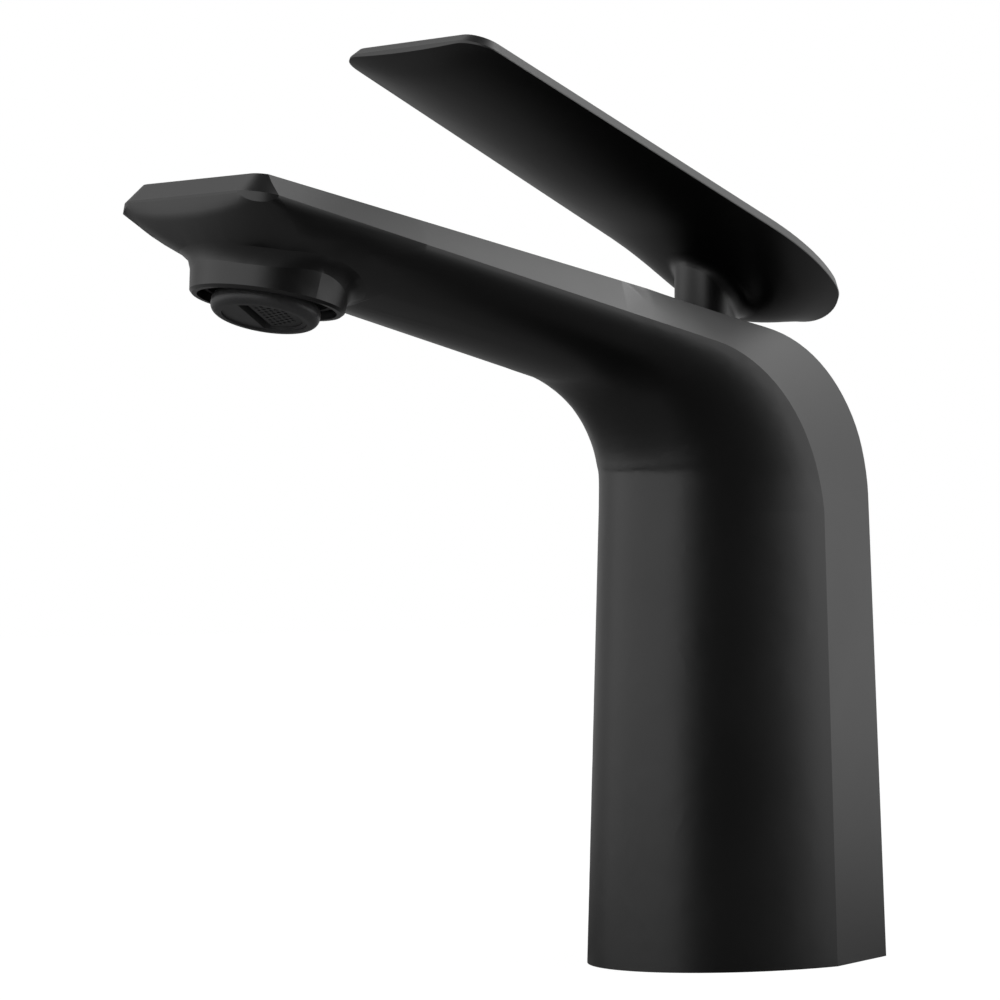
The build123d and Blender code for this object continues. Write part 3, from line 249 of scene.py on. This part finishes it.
def pale_floor():
    """A floor that the camera sees as white and that takes shadows. What glossy faces see of it is
    painted:
    a painted shadow, dark near the mixer, and far off as white as the room."""
    material = bpy.data.materials.new("pale_floor")
    material.use_nodes = True
    tree = material.node_tree
    tree.nodes.clear()
    output = tree.nodes.new("ShaderNodeOutputMaterial")
    diffuse = tree.nodes.new("ShaderNodeBsdfDiffuse")
    diffuse.inputs["Color"].default_value = (FLOOR_COLOUR, FLOOR_COLOUR, FLOOR_COLOUR, 1.0)
    glow = tree.nodes.new("ShaderNodeEmission")
    path = tree.nodes.new("ShaderNodeLightPath")
    place = tree.nodes.new("ShaderNodeNewGeometry")
    reach = tree.nodes.new("ShaderNodeVectorMath")
    reach.operation = "LENGTH"
    tree.links.new(place.outputs["Position"], reach.inputs[0])
    way = tree.nodes.new("ShaderNodeVectorMath")
    way.operation = "NORMALIZE"
    tree.links.new(place.outputs["Position"], way.inputs[0])
    # Painted shadow: glossy faces see the floor dark near the mixer, and shaded like the room's dark
    # parts further out.
    far = eased(tree, reach.outputs["Value"], FLOOR_REACH, (FLOOR_NEAR_SHADOW, 1.0))
    open_floor = node_math(tree, "MULTIPLY", far, room_light(tree, way.outputs["Vector"]))
    mirrored = node_math(tree, "MULTIPLY", open_floor, path.outputs["Is Glossy Ray"])
    seen = node_math(tree, "MAXIMUM", path.outputs["Is Camera Ray"], path.outputs["Is Transmission Ray"])
    white = node_math(tree, "MULTIPLY", seen, FLOOR_LIGHT)
    both = tree.nodes.new("ShaderNodeAddShader")
    tree.links.new(node_math(tree, "MAXIMUM", white, mirrored), glow.inputs["Strength"])
    tree.links.new(diffuse.outputs[0], both.inputs[0])
    tree.links.new(glow.outputs[0], both.inputs[1])
    tree.links.new(both.outputs[0], output.inputs["Surface"])
    return material


def build_stage():
    """The pale floor. Its far edge is out of sight against the white world."""
    half = 0.5 * STAGE_SIZE
    corners = [(-half, -half, 0.0), (half, -half, 0.0), (half, half, 0.0), (-half, half, 0.0)]
    mesh = bpy.data.meshes.new("floor")
    mesh.from_pydata(corners, [], [(0, 1, 2, 3)])
    floor = bpy.data.objects.new("floor", mesh)
    bpy.context.scene.collection.objects.link(floor)
    mesh.materials.append(pale_floor())


def build_world():
    """The room: white to the camera, shaped for glossy faces, and a soft fill for dull ones."""
    world = bpy.data.worlds.new("studio")
    bpy.context.scene.world = world
    world.use_nodes = True
    tree = world.node_tree
    back = tree.nodes["Background"]
    back.inputs["Color"].default_value = (1.0, 1.0, 1.0, 1.0)
    path = tree.nodes.new("ShaderNodeLightPath")
    way = tree.nodes.new("ShaderNodeTexCoord")
    seen = node_math(tree, "MAXIMUM", path.outputs["Is Camera Ray"], path.outputs["Is Transmission Ray"])
    room = room_light(tree, way.outputs["Generated"])
    glossy = node_math(tree, "MULTIPLY", room, path.outputs["Is Glossy Ray"])
    diffuse = node_math(tree, "MULTIPLY", path.outputs["Is Diffuse Ray"], ROOM_DIFFUSE)
    lit = node_math(tree, "MAXIMUM", glossy, diffuse)
    tree.links.new(node_math(tree, "MAXIMUM", seen, lit), back.inputs["Strength"])


def build_lamps(middle):
    """Soft boxes that face the mixer's middle."""
    for name, lamp in LAMPS.items():
        data = bpy.data.lights.new(name, "AREA")
        data.shape = "RECTANGLE"
        data.size, data.size_y = lamp["size"]
        data.energy = lamp["watts"]
        light = bpy.data.objects.new(name, data)
        bpy.context.scene.collection.objects.link(light)
        azimuth, elevation = radians(lamp["azimuth"]), radians(lamp["elevation"])
        away = Vector((sin(azimuth) * cos(elevation), -cos(azimuth) * cos(elevation), sin(elevation)))
        light.location = middle + away * lamp["distance"]
        light.rotation_euler = away.to_track_quat("Z", "Y").to_euler()


def build_camera():
    data = bpy.data.cameras.new("camera")
    data.lens = LENS
    data.shift_y = LENS_RISE
    camera = bpy.data.objects.new("camera", data)
    camera.location = CAMERA_PLACE
    camera.rotation_euler = (radians(90.0), 0.0, radians(CAMERA_TURN))
    bpy.context.scene.collection.objects.link(camera)
    bpy.context.scene.camera = camera


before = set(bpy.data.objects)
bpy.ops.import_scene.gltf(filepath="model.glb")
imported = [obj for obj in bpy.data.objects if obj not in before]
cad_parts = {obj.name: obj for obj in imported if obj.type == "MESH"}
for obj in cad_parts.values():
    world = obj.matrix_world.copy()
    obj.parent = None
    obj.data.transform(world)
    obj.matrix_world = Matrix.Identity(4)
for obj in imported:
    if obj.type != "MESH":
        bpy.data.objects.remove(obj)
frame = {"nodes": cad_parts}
cad_box = [list(corner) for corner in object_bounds()]
bpy.context.scene.view_settings.view_transform = "Standard"
build_stage()
build_world()
low, high = (Vector(corner) for corner in cad_box)
build_lamps(0.5 * (low + high))
build_camera()
dress_nodes(frame, finishes())
